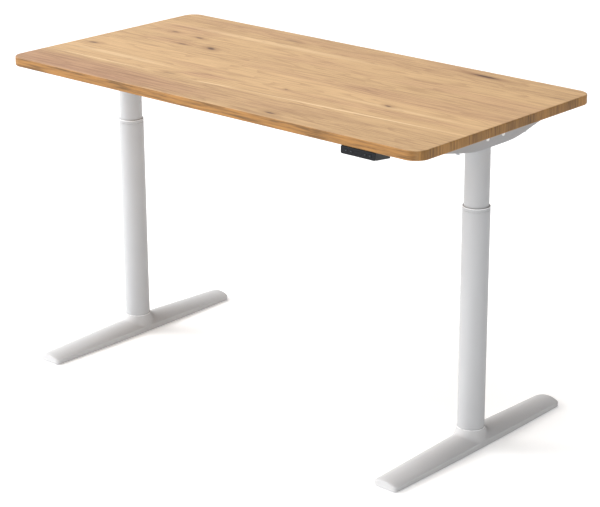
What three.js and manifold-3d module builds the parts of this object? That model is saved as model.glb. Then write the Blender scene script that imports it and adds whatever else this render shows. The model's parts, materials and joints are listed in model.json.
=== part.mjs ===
// A height adjustable standing desk: a solid wood top on two round, two-stage lifting columns.
// Millimetres, +X to the right, +Y to the back, +Z up, origin on the floor below the middle of the top.

import * as THREE from 'three';
import { mergeVertices } from 'three/addons/utils/BufferGeometryUtils.js';
import Module from 'manifold-3d';

const wasm = await Module();
wasm.setup();

// ---------------------------------------------------------------- driving dimensions

const gap = 0.3; // between pieces that touch

const topWidth = 1400;
const topDepth = 700;
const topThickness = 25;
const topCornerRadius = 40;
const topEdgeRound = 3;
const workHeight = 865; // top surface, where the columns stand now
const loweredBy = 152; // travel from here down to the shortest column
const raisedBy = 325; // travel from here up to the longest column

const columnInset = 94; // from the top's ends to the columns
const outerTubeWall = 1.6;
const columnStop = 1; // left between the collars and the arms when the desk is all the way down
const collarHeight = 10;
const collarChamfer = 1;
const innerTubeRadius = 31.4;
const innerTubeWall = 1.8;
const guideLength = 40;
const guideThickness = 1;
const guideSpacing = 14; // left between the guides when the desk is all the way up

const footLength = 688;
const footShoulder = 4; // from the neck to the foot's sides
const footEndTaper = 10; // how much narrower the ends are
const footCornerRadius = 10;
const footLift = 2; // the casting's rim stands this far off the floor, on its glides
const footBandMiddle = 18; // height of the upright side band
const footBandEnd = 13;
const footRidgeMiddle = 41.5;
const footRidgeEnd = 22.5;
const footEndHeight = 20.5;
const footWall = 4;
const neckTop = 53;
const neckWall = 1.6;
const neckFlare = 14;
const neckDepth = 8; // the neck's root inside the crown, above the foot's rim
const neckLip = 0.6;
const neckLipHeight = 2;
const neckSideInset = 1; // the flare stays this far inside the foot's sides
const footRibWidth = 3;
const glideInset = 49; // from the foot's ends to the glides
const glideRadius = 13;
const glideThickness = 3;
const studRadius = 4;
const studLength = 17;

const basePlateLength = 116;
const basePlateClearance = 3.5; // to the foot's walls
const basePlateThickness = 5;
const basePlateTop = 13.7;
const basePlateHoleRadius = 3.3;
const basePlateScrewInset = 12; // from the plate's ends to its screws
const screwPilotRadius = 2.5;
const screwPilotDepth = 12;
const ribHalfLength = 8; // of the ribs that hold the plate's screws
const glidePostWall = 5;

const spindleRadius = 6;
const spindleFoot = 178;
const nutTubeRadius = 11;
const nutTubeWall = 3;
const nutTubeTop = 520;
const nutRadius = 15;
const nutHeight = 30;
const bearingRadius = 13;
const bearingHeight = 8;

const armSideClearance = 3.5; // from the gearbox to the arm's sides
const armFlatLength = 104; // the deep part over the column
const armFlatClearance = 2; // from the gearbox to the deep part's front end
const armEndDepth = 20;
const armFrontClearance = 16; // from the handset to the arm's front end
const armBackInset = 52; // from the top's back edge to the arm's back end
const armTab = 34; // the screw tab at each end
const armSheet = 2.5;
const armScrewHoleRadius = 3;
const armCurveSteps = 8;
const armSpindleHole = 9;
const armShaftHole = 11;

const gearboxWall = 3;
const gearboxClearance = 5; // around the wheel
const bearingSpace = 4.5; // from the bearing to the wheel
const wheelHeadroom = 3.5;
const gearboxCover = 4;
const wheelRadius = 22;
const wheelWidth = 12;
const wheelTeeth = 24;
const toothDepth = 1.5;
const wormRadius = 6;
const wormLength = 26;
const wormShaftRadius = 3.5;
const wormGroove = 1.2;
const wormThreads = 5; // turns of the worm along its length
const wormShaftReach = 24; // how far the shaft goes into the motor
const motorRadius = 21.5;
const motorLength = 108;
const motorHeadroom = 4.2;
const motorNoseRadius = 15;
const motorNoseLength = 8;

const railSpacing = 160;
const railWidth = 24;
const railHeight = 36;
const railWall = 2;
const railSetback = 99; // from the arms to the middle rails
const railEndLength = 270;

const controlBoxLength = 240;
const controlBoxWidth = 116;
const controlBoxHeight = 34;
const controlBoxWall = 2.5;
const inletWidth = 27;
const inletHeight = 20;
const inletDepth = 16;
const inletWall = 3;

const handsetWidth = 104;
const handsetInset = 125; // from the top's right end to its right side
const handsetDepth = 54;
const handsetFrontHeight = 19;
const handsetBackHeight = 24;
const handsetRound = 6;
const handsetWall = 2;
const handsetCableDrop = 8; // from the case's top to its cable
const fasciaThickness = 2;
const keyHeight = 7;
const keyWidth = 11;
const keyPitch = 15;
const keyInset = 16; // from the handset's sides to its outer keys
const keyCorner = 2;
const keyProud = 0.5;
const keyTravel = 0.6;
const displayWidth = 24;

const cableRadius = 2.5;

// ---------------------------------------------------------------- places worked out from them

const outerTubeRadius = innerTubeRadius + guideThickness + outerTubeWall + 2 * gap;
const neckRadius = outerTubeRadius + gap + neckWall;
const footWidth = 2 * (neckRadius + footShoulder);
const basePlateWidth = footWidth - 2 * (footWall + basePlateClearance);
const basePlateScrewX = basePlateWidth / 3;
const basePlateScrewY = basePlateLength / 2 - basePlateScrewInset;
const glideY = footLength / 2 - glideInset;
const gearboxLength = 2 * (wheelRadius + gearboxClearance + gearboxWall + 1);
const gearboxFront = wheelRadius + gearboxClearance + gearboxWall;
const shaftY = wheelRadius + wormRadius + gap;
const gearboxBack = shaftY + wormRadius + gearboxWall + 2.7;
const shaftRise = gearboxWall + bearingHeight + bearingSpace + wheelWidth / 2;
const gearboxHeight = shaftRise + wheelWidth / 2 + wheelHeadroom;
const driveHeight = Math.max(
  shaftRise + motorRadius + motorHeadroom,
  gearboxHeight + gearboxCover + 2 * gap,
);
const armDepth = armSheet + gap + driveHeight; // below the top, over the column
const armWidth = gearboxLength + 2 * (armSheet + armSideClearance);
const armFlatFront = -gearboxFront - armFlatClearance;
const armFlatBack = armFlatFront + armFlatLength;
const armFront = handsetDepth + armFrontClearance - topDepth / 2;
const armBack = topDepth / 2 - armBackInset;
const topUnderside = workHeight - topThickness;
const columnX = topWidth / 2 - columnInset;
const railLength = 2 * columnX - armWidth - 2 * railSetback;
const armBottom = topUnderside - armDepth;
const outerTubeTop = armBottom - columnStop - loweredBy - collarHeight;
const innerTubeTop = armBottom - gap;
const innerTubeFoot = outerTubeTop - raisedBy - guideSpacing - 2 * guideLength;
const gearboxFloor = armBottom + armSheet + gap;
const shaftZ = gearboxFloor + shaftRise;
const outerBore = outerTubeRadius - outerTubeWall;
const handsetFront = -topDepth / 2;
const handsetRight = topWidth / 2 - handsetInset;
const tau = Math.PI * 2;

// ---------------------------------------------------------------- helpers

const desk = new THREE.Group();

const finish = {
  oak: { color: 0xd5af8a, roughness: 0.55, metalness: 0 },
  whiteCoat: { color: 0xe4e5e6, roughness: 0.45, metalness: 0.1 },
  castCoat: { color: 0xdfe1e2, roughness: 0.5, metalness: 0.1 },
  steel: { color: 0xaaadb0, roughness: 0.35, metalness: 0.9 },
  bronze: { color: 0xb98d4c, roughness: 0.4, metalness: 0.8 },
  blackPlastic: { color: 0x1b1d20, roughness: 0.5, metalness: 0 },
  glossBlack: { color: 0x0e1013, roughness: 0.15, metalness: 0 },
  greyPlastic: { color: 0xc9cccf, roughness: 0.6, metalness: 0 },
  acetal: { color: 0xe9e7df, roughness: 0.5, metalness: 0 },
  rubber: { color: 0x26272a, roughness: 0.85, metalness: 0 },
};

function place(name, geometry, look, position = [0, 0, 0], parent = desk) {
  const mesh = new THREE.Mesh(geometry, new THREE.MeshStandardMaterial(finish[look]));
  mesh.name = name;
  mesh.position.set(...position);
  parent.add(mesh);
  return mesh;
}

function toSolid(geometry) {
  const bare = geometry.clone();
  bare.deleteAttribute('normal');
  bare.deleteAttribute('uv');
  const merged = mergeVertices(bare, 1e-4);
  const vertProperties = new Float32Array(merged.attributes.position.array);
  const triVerts = new Uint32Array(merged.index.array);
  return new wasm.Manifold(new wasm.Mesh({ numProp: 3, vertProperties, triVerts }));
}

function toGeometry(solid) {
  const mesh = solid.getMesh();
  const geometry = new THREE.BufferGeometry();
  geometry.setAttribute('position', new THREE.BufferAttribute(new Float32Array(mesh.vertProperties), 3));
  geometry.setIndex(new THREE.BufferAttribute(new Uint32Array(mesh.triVerts), 1));
  geometry.computeVertexNormals();
  return geometry;
}

// A revolved shape standing on Z. The profile runs anticlockwise as radius, height pairs.
function revolve(profile, segments) {
  const points = profile.map(([radius, height]) => new THREE.Vector2(radius, height));
  return new THREE.LatheGeometry(points, segments).rotateX(Math.PI / 2);
}

function ring(innerRadius, outerRadius, low, high, segments) {
  const corners = [[innerRadius, low], [outerRadius, low], [outerRadius, high], [innerRadius, high]];
  return revolve([...corners, corners[0]], segments);
}

function disc(radius, low, high, segments) {
  return revolve([[0, low], [radius, low], [radius, high], [0, high]], segments);
}

// A box given by its lowest and highest corners.
function block(low, high) {
  const size = high.map((value, i) => value - low[i]);
  const middle = high.map((value, i) => (value + low[i]) / 2);
  return new THREE.BoxGeometry(...size).translate(...middle);
}

// A rod along X between two places.
function rodX(radius, x0, x1, y, z, segments) {
  return disc(radius, Math.min(x0, x1), Math.max(x0, x1), segments).rotateY(Math.PI / 2).translate(0, y, z);
}

// A rod along Y between two places.
function rodY(radius, y0, y1, x, z, segments) {
  return disc(radius, -y1, -y0, segments).rotateX(Math.PI / 2).translate(x, 0, z);
}

function roundedOutline(width, depth, radius, cornerSteps) {
  const outline = [];
  for (let corner = 0; corner < 4; corner += 1) {
    const signX = corner === 0 || corner === 3 ? 1 : -1;
    const signY = corner < 2 ? 1 : -1;
    for (let step = 0; step <= cornerSteps; step += 1) {
      const angle = (corner + step / cornerSteps) * Math.PI / 2;
      const x = signX * (width / 2 - radius) + radius * Math.cos(angle);
      const y = signY * (depth / 2 - radius) + radius * Math.sin(angle);
      outline.push(new THREE.Vector2(x, y));
    }
  }
  return outline;
}

function extrude(outline, depth, holes = []) {
  const shape = new THREE.Shape(outline);
  holes.forEach((hole) => shape.holes.push(new THREE.Path(hole)));
  return new THREE.ExtrudeGeometry(shape, { depth, bevelEnabled: false });
}

// A side profile of y, z pairs, extruded along X from x0 to x1.
function extrudeX(profile, x0, x1) {
  const outline = profile.map(([y, z]) => new THREE.Vector2(y, z));
  const turn = new THREE.Matrix4().makeBasis(
    new THREE.Vector3(0, 1, 0),
    new THREE.Vector3(0, 0, 1),
    new THREE.Vector3(1, 0, 0),
  );
  return extrude(outline, x1 - x0).applyMatrix4(turn).translate(x0, 0, 0);
}

// A closed skin over a row of rings that all have the same number of points.
function loft(rings) {
  const count = rings[0].length;
  const positions = rings.flat(2);
  const index = [];
  for (let row = 0; row < rings.length - 1; row += 1) {
    for (let i = 0; i < count; i += 1) {
      const a = row * count + i;
      const b = row * count + (i + 1) % count;
      index.push(a, b, a + count, b, b + count, a + count);
    }
  }
  const last = (rings.length - 1) * count;
  for (let i = 1; i < count - 1; i += 1) {
    index.push(0, i + 1, i);
    index.push(last, last + i, last + i + 1);
  }
  const geometry = new THREE.BufferGeometry();
  geometry.setAttribute('position', new THREE.Float32BufferAttribute(positions, 3));
  geometry.setIndex(index);
  return geometry;
}

// ---------------------------------------------------------------- wood top

function tabletop() {
  const inset = 2 * topEdgeRound;
  const outline = roundedOutline(topWidth - inset, topDepth - inset, topCornerRadius - topEdgeRound, 8);
  const shape = new THREE.Shape(outline);
  const geometry = new THREE.ExtrudeGeometry(shape, {
    depth: topThickness - inset,
    bevelEnabled: true,
    bevelThickness: topEdgeRound,
    bevelSize: topEdgeRound,
    bevelSegments: 2,
  });
  place('tabletop', geometry, 'oak', [0, 0, topUnderside + topEdgeRound]);
}

// ---------------------------------------------------------------- cast foot

const crownReach = 0.85; // how much of a half ellipse the crown's arc takes, so that it ends in a crease
const crownEdge = Math.sqrt(1 - crownReach ** 2);
const crownSteps = 10; // facets across the outside
const cavitySteps = 5; // and across the hollow underneath

function footHalfWidth(y) {
  const share = 2 * Math.abs(y) / footLength;
  return (footWidth - footEndTaper * share ** 2) / 2;
}

function blendAlong(y, middle, end) {
  return middle + (end - middle) * 2 * Math.abs(y) / footLength;
}

// Places along the foot: close together where its ends round off.
function footStations() {
  const half = footLength / 2;
  const stations = [];
  for (let step = 0; step <= 4; step += 1) {
    stations.push(half - footCornerRadius * (1 - Math.sin(step * Math.PI / 8)));
  }
  const inner = half - footCornerRadius;
  const middle = [0.84, 0.66, 0.48, 0.3, 0.12].map((share) => share * inner);
  const front = [...stations.reverse(), ...middle].map((y) => -y);
  return [...front, ...front.map((y) => -y).reverse()];
}

// One cross-section, walked anticlockwise as seen from the front.
function footSection(y, wall, floor, steps) {
  const half = footLength / 2;
  const fromEnd = Math.max(0, Math.abs(y) - (half - footCornerRadius));
  const rounding = footCornerRadius - Math.sqrt(footCornerRadius ** 2 - fromEnd ** 2);
  const halfWidth = footHalfWidth(y) - rounding - wall;
  const band = blendAlong(y, footBandMiddle, footBandEnd) - wall / 2;
  const endDrop = (footRidgeEnd - footEndHeight) * (fromEnd / footCornerRadius) ** 2;
  const ridge = blendAlong(y, footRidgeMiddle, footRidgeEnd) - endDrop - wall;
  const along = y * (half - wall) / half;
  const points = [[-halfWidth, along, floor], [halfWidth, along, floor]];
  for (let step = 0; step <= steps; step += 1) {
    const angle = step * Math.PI / steps;
    const across = Math.cos(angle);
    const up = (Math.sqrt(1 - (crownReach * across) ** 2) - crownEdge) / (1 - crownEdge);
    points.push([halfWidth * across, along, band + (ridge - band) * up]);
  }
  return points;
}

function footBlank(wall, floor, steps) {
  const sections = footStations().map((y) => footSection(y, wall, floor, steps));
  return toSolid(loft(sections.reverse()));
}

// The round neck that flares into the crown, kept within the foot's sides.
function footNeck() {
  const root = footLift + neckDepth;
  const profile = [[0, root], [neckRadius + neckFlare, root]];
  const flareSteps = 4;
  for (let step = 0; step <= flareSteps; step += 1) {
    const angle = step * Math.PI / 2 / flareSteps;
    const radius = neckRadius + neckFlare * (1 - Math.sin(angle));
    profile.push([radius, neckTop - neckLipHeight - neckFlare * Math.cos(angle)]);
  }
  profile.push([neckRadius - neckLip, neckTop], [0, neckTop]);
  const side = footWidth / 2 - neckSideInset;
  const sides = block([-side, -footWidth, 0], [side, footWidth, neckTop + 1]);
  return toSolid(revolve(profile, 32)).intersect(toSolid(sides));
}

function footCasting() {
  const outer = footBlank(0, footLift, crownSteps).add(footNeck());
  const socket = toSolid(disc(neckRadius, basePlateTop + gap, footRidgeMiddle, 32));
  const ribFloor = basePlateTop + gap;
  const spine = block([-footRibWidth / 2, -glideY, ribFloor], [footRibWidth / 2, glideY, footRidgeMiddle]);
  let ribs = socket.add(toSolid(spine));
  [-1, 1].forEach((end) => {
    const ribFront = end * basePlateScrewY - ribHalfLength;
    const ribBack = end * basePlateScrewY + ribHalfLength;
    const rib = block([-footWidth, ribFront, ribFloor], [footWidth, ribBack, footRidgeMiddle]);
    const postLow = glideThickness + glidePostWall;
    const post = disc(studRadius + glidePostWall, postLow, footRidgeEnd, 20).translate(0, end * glideY, 0);
    ribs = ribs.add(toSolid(rib)).add(toSolid(post));
  });
  ribs = ribs.intersect(footBlank(footWall / 2, footLift, cavitySteps));
  const cavity = footBlank(footWall, footLift - 2, cavitySteps);
  const tubeBore = toSolid(disc(outerTubeRadius + gap, footLift - 2, neckTop + 5, 32));
  let casting = outer.subtract(cavity).add(ribs).subtract(tubeBore);
  [-1, 1].forEach((end) => {
    const studHole = disc(studRadius + gap, 0, glideThickness + studLength + 1, 16);
    casting = casting.subtract(toSolid(studHole.translate(0, end * glideY, 0)));
    [-1, 1].forEach((across) => {
      const screwHole = disc(screwPilotRadius, 0, ribFloor + screwPilotDepth, 10);
      const at = [across * basePlateScrewX, end * basePlateScrewY, 0];
      casting = casting.subtract(toSolid(screwHole.translate(...at)));
    });
  });
  return toGeometry(casting);
}

function glide() {
  const edge = 0.8;
  return revolve([
    [0, 0],
    [glideRadius - edge, 0],
    [glideRadius, edge],
    [glideRadius, glideThickness],
    [studRadius, glideThickness],
    [studRadius, glideThickness + studLength],
    [0, glideThickness + studLength],
  ], 24);
}

function basePlate() {
  const low = [-basePlateWidth / 2, -basePlateLength / 2, basePlateTop - basePlateThickness];
  const high = [basePlateWidth / 2, basePlateLength / 2, basePlateTop];
  let plate = toSolid(block(low, high));
  [-1, 1].forEach((end) => {
    [-1, 1].forEach((across) => {
      const hole = disc(basePlateHoleRadius, 0, basePlateTop + 1, 12);
      const at = [across * basePlateScrewX, end * basePlateScrewY, 0];
      plate = plate.subtract(toSolid(hole.translate(...at)));
    });
  });
  return toGeometry(plate);
}

// ---------------------------------------------------------------- lifting column

function collar() {
  const bore = innerTubeRadius + gap;
  const low = outerTubeTop + gap;
  const high = outerTubeTop + collarHeight;
  return revolve([
    [bore, low],
    [outerTubeRadius, low],
    [outerTubeRadius, high - collarChamfer],
    [outerTubeRadius - collarChamfer, high],
    [bore, high],
    [bore, low],
  ], 48);
}

function guideRing(low) {
  return ring(innerTubeRadius + gap, outerBore - gap, low, low + guideLength, 32);
}

function column(name, x) {
  const at = [x, 0, 0];
  const segments = 48;
  const tubeFoot = basePlateTop + gap;
  place(`${name}_foot`, footCasting(), 'castCoat', at);
  place(`${name}_glide_front`, glide(), 'rubber', [x, -glideY, 0]);
  place(`${name}_glide_back`, glide(), 'rubber', [x, glideY, 0]);
  place(`${name}_base_plate`, basePlate(), 'steel', at);
  const outerTube = ring(outerBore, outerTubeRadius, tubeFoot, outerTubeTop, segments);
  place(`${name}_outer_tube`, outerTube, 'whiteCoat', at);
  place(`${name}_collar`, collar(), 'greyPlastic', at);
  place(`${name}_upper_guide`, guideRing(outerTubeTop - guideLength), 'acetal', at);
  const innerBore = innerTubeRadius - innerTubeWall;
  const innerTube = ring(innerBore, innerTubeRadius, innerTubeFoot, innerTubeTop, segments);
  place(`${name}_inner_tube`, innerTube, 'whiteCoat', at);
  place(`${name}_lower_guide`, guideRing(innerTubeFoot), 'acetal', at);
  const nutTube = ring(nutTubeRadius - nutTubeWall, nutTubeRadius, tubeFoot, nutTubeTop, 20);
  place(`${name}_nut_tube`, nutTube, 'steel', at);
  const nut = ring(spindleRadius + gap, nutRadius, nutTubeTop + gap, nutTubeTop + gap + nutHeight, 24);
  place(`${name}_spindle_nut`, nut, 'acetal', at);
}

// ---------------------------------------------------------------- drive in the column head

// One tooth of the worm wheel: share of the pitch, share of the tooth's depth.
const toothShape = [[0.25, 0], [0.4, 1], [0.6, 1], [0.75, 0]];

function wormWheel() {
  const outline = [];
  for (let tooth = 0; tooth < wheelTeeth; tooth += 1) {
    toothShape.forEach(([share, deep]) => {
      const angle = (tooth + share) * tau / wheelTeeth;
      const radius = wheelRadius - deep * toothDepth;
      outline.push(new THREE.Vector2(radius * Math.cos(angle), radius * Math.sin(angle)));
    });
  }
  const bore = roundedOutline(2 * (spindleRadius + gap), 2 * (spindleRadius + gap), spindleRadius + gap, 6);
  return extrude(outline, wheelWidth, [bore.reverse()]).translate(0, 0, shaftZ - wheelWidth / 2);
}

// A worm on its shaft: the shaft runs from the gearbox into the motor.
function wormShaft(side) {
  const pitch = wormLength / wormThreads;
  const rootRadius = wormRadius - wormGroove;
  const tail = gearboxLength / 2 - gearboxWall - 1;
  const reach = armWidth / 2 + motorNoseLength + wormShaftReach;
  const profile = [[0, -tail], [wormShaftRadius, -tail], [wormShaftRadius, -wormLength / 2]];
  for (let at = -wormLength / 2; at < wormLength / 2 - 1e-6; at += pitch) {
    profile.push([rootRadius, at + 0.01], [wormRadius, at + pitch / 4]);
    profile.push([wormRadius, at + pitch / 2], [rootRadius, at + 0.75 * pitch]);
  }
  profile.push([wormShaftRadius, wormLength / 2 + 1.5], [wormShaftRadius, reach], [0, reach]);
  return revolve(profile, 12).rotateY(side * Math.PI / 2).translate(0, shaftY, shaftZ);
}

function gearboxCase(side) {
  const half = gearboxLength / 2;
  const high = gearboxFloor + gearboxHeight;
  const outer = toSolid(block([-half, -gearboxFront, gearboxFloor], [half, gearboxBack, high]));
  const inside = toSolid(block(
    [-half + gearboxWall, -gearboxFront + gearboxWall, gearboxFloor + gearboxWall],
    [half - gearboxWall, gearboxBack - gearboxWall, high + 1],
  ));
  const spindleHole = toSolid(disc(spindleRadius + 1, gearboxFloor - 1, gearboxFloor + gearboxWall + 1, 20));
  const shaftHole = toSolid(rodX(wormShaftRadius + 0.5, 0, side * (half + 1), shaftY, shaftZ, 16));
  return toGeometry(outer.subtract(inside).subtract(spindleHole).subtract(shaftHole));
}

function gearboxLid() {
  const half = gearboxLength / 2;
  const low = gearboxFloor + gearboxHeight + gap;
  return block([-half, -gearboxFront, low], [half, gearboxBack, low + gearboxCover]);
}

function motor(side) {
  const start = armWidth / 2 - armSheet - 3;
  const flange = armWidth / 2 + gap;
  const edge = 2;
  const bore = wormShaftRadius + 0.5;
  const boreEnd = armWidth / 2 + motorNoseLength + wormShaftReach + 2;
  const end = flange + motorLength;
  const profile = [
    [bore, start],
    [armShaftHole - gap, start],
    [armShaftHole - gap, flange],
    [motorNoseRadius, flange],
    [motorNoseRadius, flange + motorNoseLength],
    [motorRadius, flange + motorNoseLength],
    [motorRadius, end - edge],
    [motorRadius - edge, end],
    [0, end],
    [0, boreEnd],
    [bore, boreEnd],
    [bore, start],
  ];
  return revolve(profile, 24).rotateY(side * Math.PI / 2).translate(0, shaftY, shaftZ);
}

// The arm's underside between its tabs, lifted by a wall: deep over the column, curving up to both ends.
function armUnderside(wall) {
  const frontEnd = armFront + armTab + wall;
  const backEnd = armBack - armTab - wall;
  const front = [];
  const back = [];
  for (let step = 0; step <= armCurveSteps; step += 1) {
    const share = step / armCurveSteps;
    const ease = share * share * (3 - 2 * share);
    const z = topUnderside - armEndDepth - (armDepth - armEndDepth) * ease + wall;
    front.push([frontEnd + (armFlatFront - frontEnd) * share, z]);
    back.unshift([backEnd + (armFlatBack - backEnd) * share, z]);
  }
  return [...front, ...back];
}

// The pressed bracket under each end of the top, open towards the wood, with a screw tab at each end.
function arm(side) {
  const top = topUnderside - gap;
  const tabLow = top - armSheet;
  const outer = [
    [armFront, top],
    [armFront, tabLow],
    [armFront + armTab, tabLow],
    ...armUnderside(0),
    [armBack - armTab, tabLow],
    [armBack, tabLow],
    [armBack, top],
  ];
  const underside = armUnderside(armSheet);
  const inner = [
    [underside[0][0], top + 1],
    ...underside,
    [underside[underside.length - 1][0], top + 1],
  ];
  const x = armWidth / 2;
  let channel = toSolid(extrudeX(outer, -x, x));
  channel = channel.subtract(toSolid(extrudeX(inner, -x + armSheet, x - armSheet)));
  channel = channel.subtract(toSolid(disc(armSpindleHole, armBottom - 1, armBottom + armSheet + 1, 24)));
  channel = channel.subtract(toSolid(rodX(armShaftHole, 0, side * (x + 1), shaftY, shaftZ, 24)));
  [armFront + armTab / 2, armBack - armTab / 2].forEach((y) => {
    const hole = disc(armScrewHoleRadius, tabLow - 1, top + 1, 12);
    channel = channel.subtract(toSolid(hole.translate(0, y, 0)));
  });
  return toGeometry(channel);
}

function columnHead(name, x, inward) {
  const at = [x, 0, 0];
  place(`${name}_arm`, arm(inward), 'whiteCoat', at);
  const bearingFloor = gearboxFloor + gearboxWall + gap;
  const bearing = ring(spindleRadius + gap, bearingRadius, bearingFloor, bearingFloor + bearingHeight, 24);
  place(`${name}_spindle_bearing`, bearing, 'steel', at);
  place(`${name}_spindle`, disc(spindleRadius, spindleFoot, shaftZ + wheelWidth / 2 + 1, 20), 'steel', at);
  place(`${name}_worm_wheel`, wormWheel(), 'bronze', at);
  place(`${name}_worm_shaft`, wormShaft(inward), 'steel', at);
  place(`${name}_gearbox_case`, gearboxCase(inward), 'blackPlastic', at);
  place(`${name}_gearbox_cover`, gearboxLid(), 'blackPlastic', at);
  place(`${name}_motor`, motor(inward), 'steel', at);
}

// ---------------------------------------------------------------- frame under the top

function boxTube(width, height, wall, x0, x1, y) {
  const high = topUnderside - gap;
  const outer = toSolid(block([x0, y - width / 2, high - height], [x1, y + width / 2, high]));
  const inner = toSolid(block(
    [x0 - 1, y - width / 2 + wall, high - height + wall],
    [x1 + 1, y + width / 2 - wall, high - wall],
  ));
  return toGeometry(outer.subtract(inner));
}

function rails() {
  [['front', -1], ['back', 1]].forEach(([where, row]) => {
    const y = row * railSpacing / 2;
    const rail = boxTube(railWidth, railHeight, railWall, -railLength / 2, railLength / 2, y);
    place(`rail_${where}`, rail, 'whiteCoat');
    const play = 2 * (railWall + gap);
    [['left', -1], ['right', 1]].forEach(([end, side]) => {
      const outside = side * (columnX - armWidth / 2 - gap);
      const inside = outside - side * railEndLength;
      const ends = [Math.min(outside, inside), Math.max(outside, inside)];
      const geometry = boxTube(railWidth - play, railHeight - play, railWall, ...ends, y);
      place(`rail_end_${end}_${where}`, geometry, 'whiteCoat', [0, 0, -railWall - gap]);
    });
  });
}

function controlBox() {
  const half = controlBoxLength / 2;
  const y = controlBoxWidth / 2;
  const high = topUnderside - gap;
  const lidLow = high - controlBoxWall;
  const low = high - controlBoxHeight;
  const wall = controlBoxWall;
  const shell = toSolid(block([-half, -y, low], [half, y, lidLow - gap]));
  const inside = toSolid(block([-half + wall, -y + wall, low + wall], [half - wall, y - wall, high]));
  const inletLow = (low + lidLow - inletHeight) / 2;
  const inlet = toSolid(block(
    [-inletWidth / 2, y - wall - 1, inletLow],
    [inletWidth / 2, y + 1, inletLow + inletHeight],
  ));
  place('control_box', toGeometry(shell.subtract(inside).subtract(inlet)), 'blackPlastic');
  place('control_box_lid', block([-half, -y, lidLow], [half, y, high]), 'blackPlastic');
  const socketOuter = toSolid(block(
    [-inletWidth / 2 + gap, y - inletDepth, inletLow + gap],
    [inletWidth / 2 - gap, y, inletLow + inletHeight - gap],
  ));
  const socketInside = toSolid(block(
    [-inletWidth / 2 + inletWall, y - inletDepth + inletWall, inletLow + inletWall],
    [inletWidth / 2 - inletWall, y + 1, inletLow + inletHeight - inletWall],
  ));
  place('mains_inlet', toGeometry(socketOuter.subtract(socketInside)), 'blackPlastic');
}

// ---------------------------------------------------------------- handset under the front edge

const handsetLeft = handsetRight - handsetWidth;
const handsetTop = topUnderside - gap;
const fasciaBack = handsetFront + fasciaThickness;
const keyRow = handsetTop - handsetFrontHeight / 2;

function handsetKeys() {
  return [
    { name: 'key_down', x: handsetLeft + keyInset },
    { name: 'key_up', x: handsetLeft + keyInset + keyPitch },
    { name: 'key_memory_1', x: handsetRight - keyInset - keyPitch },
    { name: 'key_memory_2', x: handsetRight - keyInset },
  ];
}

function faceOutline(x0, x1, low, high, radius) {
  const outline = roundedOutline(x1 - x0, high - low, radius, 2);
  return outline.map((point) => point.add(new THREE.Vector2((x0 + x1) / 2, (low + high) / 2)));
}

// An upright plate facing the front, given by its outline in x, z and its holes.
function frontPlate(outline, yFront, yBack, holes = []) {
  return extrude(outline, yBack - yFront, holes).rotateX(Math.PI / 2).translate(0, yBack, 0);
}

// The outline of a key or of the display window, grown by a margin.
function keyOutline(x, width, margin) {
  const half = keyHeight / 2 + margin;
  return faceOutline(x - width / 2 - margin, x + width / 2 + margin, keyRow - half, keyRow + half,
    keyCorner - gap + margin);
}

function handset() {
  const low = handsetTop - handsetFrontHeight;
  const caseFront = fasciaBack + gap;
  const caseBack = handsetFront + handsetDepth;
  const slope = [
    [caseFront, handsetTop],
    [caseFront, low + handsetRound / 2],
    [caseFront + handsetRound / 2, low],
    [caseBack, handsetTop - handsetBackHeight],
    [caseBack, handsetTop],
  ];
  const shell = toSolid(extrudeX(slope, handsetLeft, handsetRight));
  const pocket = toSolid(block(
    [handsetLeft + handsetWall, fasciaBack - 1, low + 2 * handsetWall],
    [handsetRight - handsetWall, caseBack - handsetWall, handsetTop - handsetWall],
  ));
  const middle = handsetLeft + handsetWidth / 2;
  const cableHole = toSolid(rodY(cableRadius + gap, caseBack - 3 * handsetWall, caseBack + 1, middle,
    handsetTop - handsetCableDrop, 12));
  place('handset_case', toGeometry(shell.subtract(pocket).subtract(cableHole)), 'blackPlastic');

  const face = faceOutline(handsetLeft, handsetRight, low, handsetTop, handsetRound / 2);
  const keyHoles = handsetKeys().map(({ x }) => keyOutline(x, keyWidth, gap).reverse());
  const holes = [keyOutline(middle, displayWidth, gap).reverse(), ...keyHoles];
  place('handset_fascia', frontPlate(face, handsetFront, fasciaBack, holes), 'glossBlack');
  const window = keyOutline(middle, displayWidth, 0);
  place('handset_display', frontPlate(window, handsetFront, fasciaBack), 'glossBlack');
  handsetKeys().forEach(({ name, x }) => {
    const cap = keyOutline(x, keyWidth, 0);
    place(name, frontPlate(cap, handsetFront - keyProud, fasciaBack + gap + keyTravel), 'glossBlack');
  });
}

// ---------------------------------------------------------------- cables under the top

function cable(name, points, steps) {
  const path = new THREE.CatmullRomCurve3(points.map((point) => new THREE.Vector3(...point)));
  const outline = [];
  for (let i = 0; i < 8; i += 1) {
    const angle = i * tau / 8;
    outline.push(new THREE.Vector2(cableRadius * Math.cos(angle), cableRadius * Math.sin(angle)));
  }
  const shape = new THREE.Shape(outline);
  place(name, new THREE.ExtrudeGeometry(shape, { steps, extrudePath: path, bevelEnabled: false }), 'rubber');
}

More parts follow.
